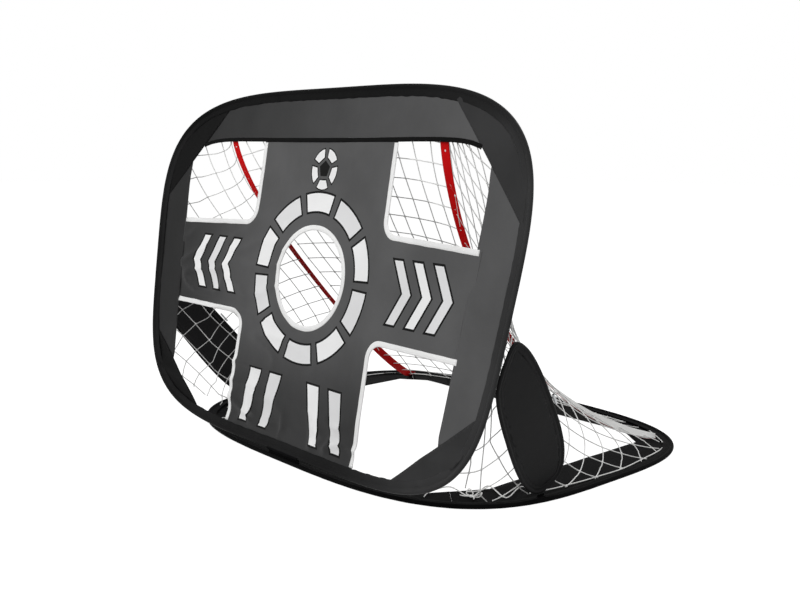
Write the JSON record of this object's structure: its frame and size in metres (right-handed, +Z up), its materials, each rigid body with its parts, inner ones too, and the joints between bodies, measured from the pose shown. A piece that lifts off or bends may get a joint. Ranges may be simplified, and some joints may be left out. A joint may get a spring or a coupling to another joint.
{
  "type": "folding soccer goal",
  "caption": "Pop-up folding soccer goal: spring-hoop floor and front frames, a cross-shaped target sheet, side wings, a slack net and red seam tapes.",
  "frame": {"origin": "on the floor, at the middle of the floor frame", "axes": "+Z up; the front frame stands on the -Y side and leans back towards +Y; +X is to the right of someone who faces the goal from the front"},
  "size_m": [1.1158, 0.8104, 0.715],
  "materials": {
    "black_fabric": "matte woven polyester",
    "grey_sheet": "coated polyester, slightly glossy",
    "band_fabric": "matte woven polyester",
    "white_binding": "woven tape",
    "net_cord": "braided cord",
    "red_tape": "woven tape",
    "spring_steel": "plain"
  },
  "bodies": {
    "base": {"base_hoop": "spring_steel", "base_hoop_ferrule": "spring_steel", "base_sleeve": "black_fabric", "front_floor_band": "black_fabric", "back_floor_band": "black_fabric", "right_floor_band": "black_fabric", "left_floor_band": "black_fabric", "hinge_strap": "black_fabric", "right_foot_tab": "black_fabric", "left_foot_tab": "black_fabric", "back_net": "net_cord", "right_net": "net_cord", "left_net": "net_cord", "right_seam_tape": "red_tape", "left_seam_tape": "red_tape"},
    "front_frame": {"front_hoop": "spring_steel", "front_hoop_ferrule": "spring_steel", "front_sleeve": "black_fabric", "target_sheet": "grey_sheet", "top_band": "band_fabric", "right_band": "band_fabric", "left_band": "band_fabric", "upper_right_gusset": "black_fabric", "upper_left_gusset": "black_fabric", "lower_right_gusset": "black_fabric", "lower_left_gusset": "black_fabric", "top_hem": "black_fabric", "upper_right_binding": "white_binding", "upper_left_binding": "white_binding", "lower_right_binding": "white_binding", "lower_left_binding": "white_binding", "centre_binding": "white_binding", "right_wing_seam": "black_fabric", "left_wing_seam": "black_fabric"},
    "right_wing": {"right_wing_hoop": "spring_steel", "right_wing_hoop_ferrule": "spring_steel", "right_wing_sleeve": "black_fabric", "right_wing_panel": "black_fabric"},
    "left_wing": {"left_wing_hoop": "spring_steel", "left_wing_hoop_ferrule": "spring_steel", "left_wing_sleeve": "black_fabric", "left_wing_panel": "black_fabric"}
  },
  "joints": [
    {"name": "front_fold", "type": "hinge", "parent": "base", "child": "front_frame", "pos_m": [0, -0.3691, 0.0178], "axis": [-1, 0, 0], "range_deg": [0, 66], "stiffness_Nm_per_rad": 3, "springref_deg": -28.65, "deforming": ["back_net", "right_net", "left_net", "right_seam_tape", "left_seam_tape"]},
    {"name": "right_wing_fold", "type": "hinge", "parent": "base", "child": "right_wing", "pos_m": [0.4614, -0.0947, 0.0133], "axis": [-0.7191, -0.4328, -0.5437], "range_deg": [0, 143.8]},
    {"name": "left_wing_fold", "type": "hinge", "parent": "base", "child": "left_wing", "pos_m": [-0.4614, -0.0947, 0.0133], "axis": [-0.7191, 0.4328, 0.5437], "range_deg": [0, 143.8]}
  ],
  "couplings": [
    {"joint": "right_wing_fold", "follows": "front_fold", "ratio": 2.1787},
    {"joint": "left_wing_fold", "follows": "front_fold", "ratio": 2.1787}
  ]
}
